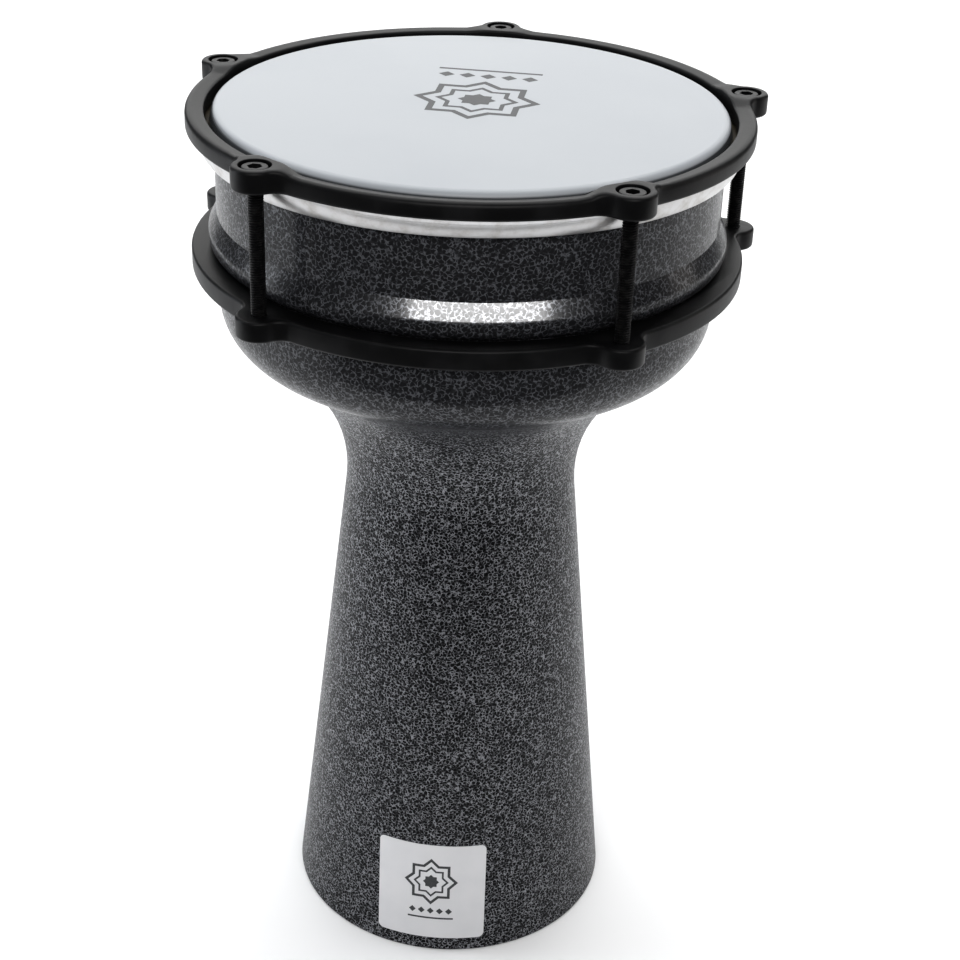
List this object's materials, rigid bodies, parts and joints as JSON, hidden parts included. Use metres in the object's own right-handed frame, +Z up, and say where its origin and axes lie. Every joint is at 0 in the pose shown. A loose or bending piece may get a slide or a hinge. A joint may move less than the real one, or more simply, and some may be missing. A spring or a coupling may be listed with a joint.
{
  "type": "goblet drum",
  "caption": "Goblet-shaped hand drum with an open foot, a synthetic head, and a top hoop drawn down to a lower ring by socket-head tension bolts.",
  "frame": {"origin": "centre of the foot's open mouth, on the floor", "axes": "+Z up along the drum's axis to the head, -Y towards the front, +X to the right seen from the front"},
  "size_m": [0.2377, 0.239, 0.3843],
  "materials": {
    "hammertone_bowl": "glossy hammertone enamel, charcoal with silver-grey veins",
    "hammertone_stem": "hammertone enamel with a finer pattern, charcoal with silver-grey veins",
    "black_coat": "semi-gloss black powder coat on cast aluminium",
    "bare_aluminium": "bare, turned and lightly polished",
    "film": "coated polyester film, pale grey-white",
    "resin": "cast resin, hidden in the flesh hoop",
    "black_steel": "black oxide steel",
    "label": "bare vinyl label with rounded corners"
  },
  "bodies": {
    "shell": {"stem_shell": "hammertone_stem", "bowl_shell": "hammertone_bowl", "lower_ring": "black_coat"},
    "hoop": {"top_hoop": "black_coat", "flesh_hoop": "bare_aluminium", "head_film": "film", "head_resin": "resin"},
    "bolt_1": {"tension_bolt_1": "black_steel"},
    "bolt_2": {"tension_bolt_2": "black_steel"},
    "bolt_3": {"tension_bolt_3": "black_steel"},
    "bolt_4": {"tension_bolt_4": "black_steel"},
    "bolt_5": {"tension_bolt_5": "black_steel"}
  },
  "joints": [
    {"name": "hoop_lift", "type": "slide", "parent": "shell", "child": "hoop", "axis": [0, 0, 1], "range_m": [0, 0.004]},
    {"name": "bolt_1_turn", "type": "hinge", "parent": "hoop", "child": "bolt_1", "pos_m": [0.058, -0.10046, 0.37967], "axis": [0, 0, 1], "range_deg": [0, 1440.01]},
    {"name": "bolt_2_turn", "type": "hinge", "parent": "hoop", "child": "bolt_2", "pos_m": [0.11346, 0.02412, 0.37967], "axis": [0, 0, 1], "range_deg": [0, 1440.01]},
    {"name": "bolt_3_turn", "type": "hinge", "parent": "hoop", "child": "bolt_3", "pos_m": [0.01213, 0.11536, 0.37967], "axis": [0, 0, 1], "range_deg": [0, 1440.01]},
    {"name": "bolt_4_turn", "type": "hinge", "parent": "hoop", "child": "bolt_4", "pos_m": [-0.10597, 0.04718, 0.37967], "axis": [0, 0, 1], "range_deg": [0, 1440.01]},
    {"name": "bolt_5_turn", "type": "hinge", "parent": "hoop", "child": "bolt_5", "pos_m": [-0.07762, -0.08621, 0.37967], "axis": [0, 0, 1], "range_deg": [0, 1440.01]}
  ],
  "couplings": [
    {"joint": "bolt_1_turn", "follows": "hoop_lift", "rad_per_m": 6283.2},
    {"joint": "bolt_2_turn", "follows": "hoop_lift", "rad_per_m": 6283.2},
    {"joint": "bolt_3_turn", "follows": "hoop_lift", "rad_per_m": 6283.2},
    {"joint": "bolt_4_turn", "follows": "hoop_lift", "rad_per_m": 6283.2},
    {"joint": "bolt_5_turn", "follows": "hoop_lift", "rad_per_m": 6283.2}
  ]
}
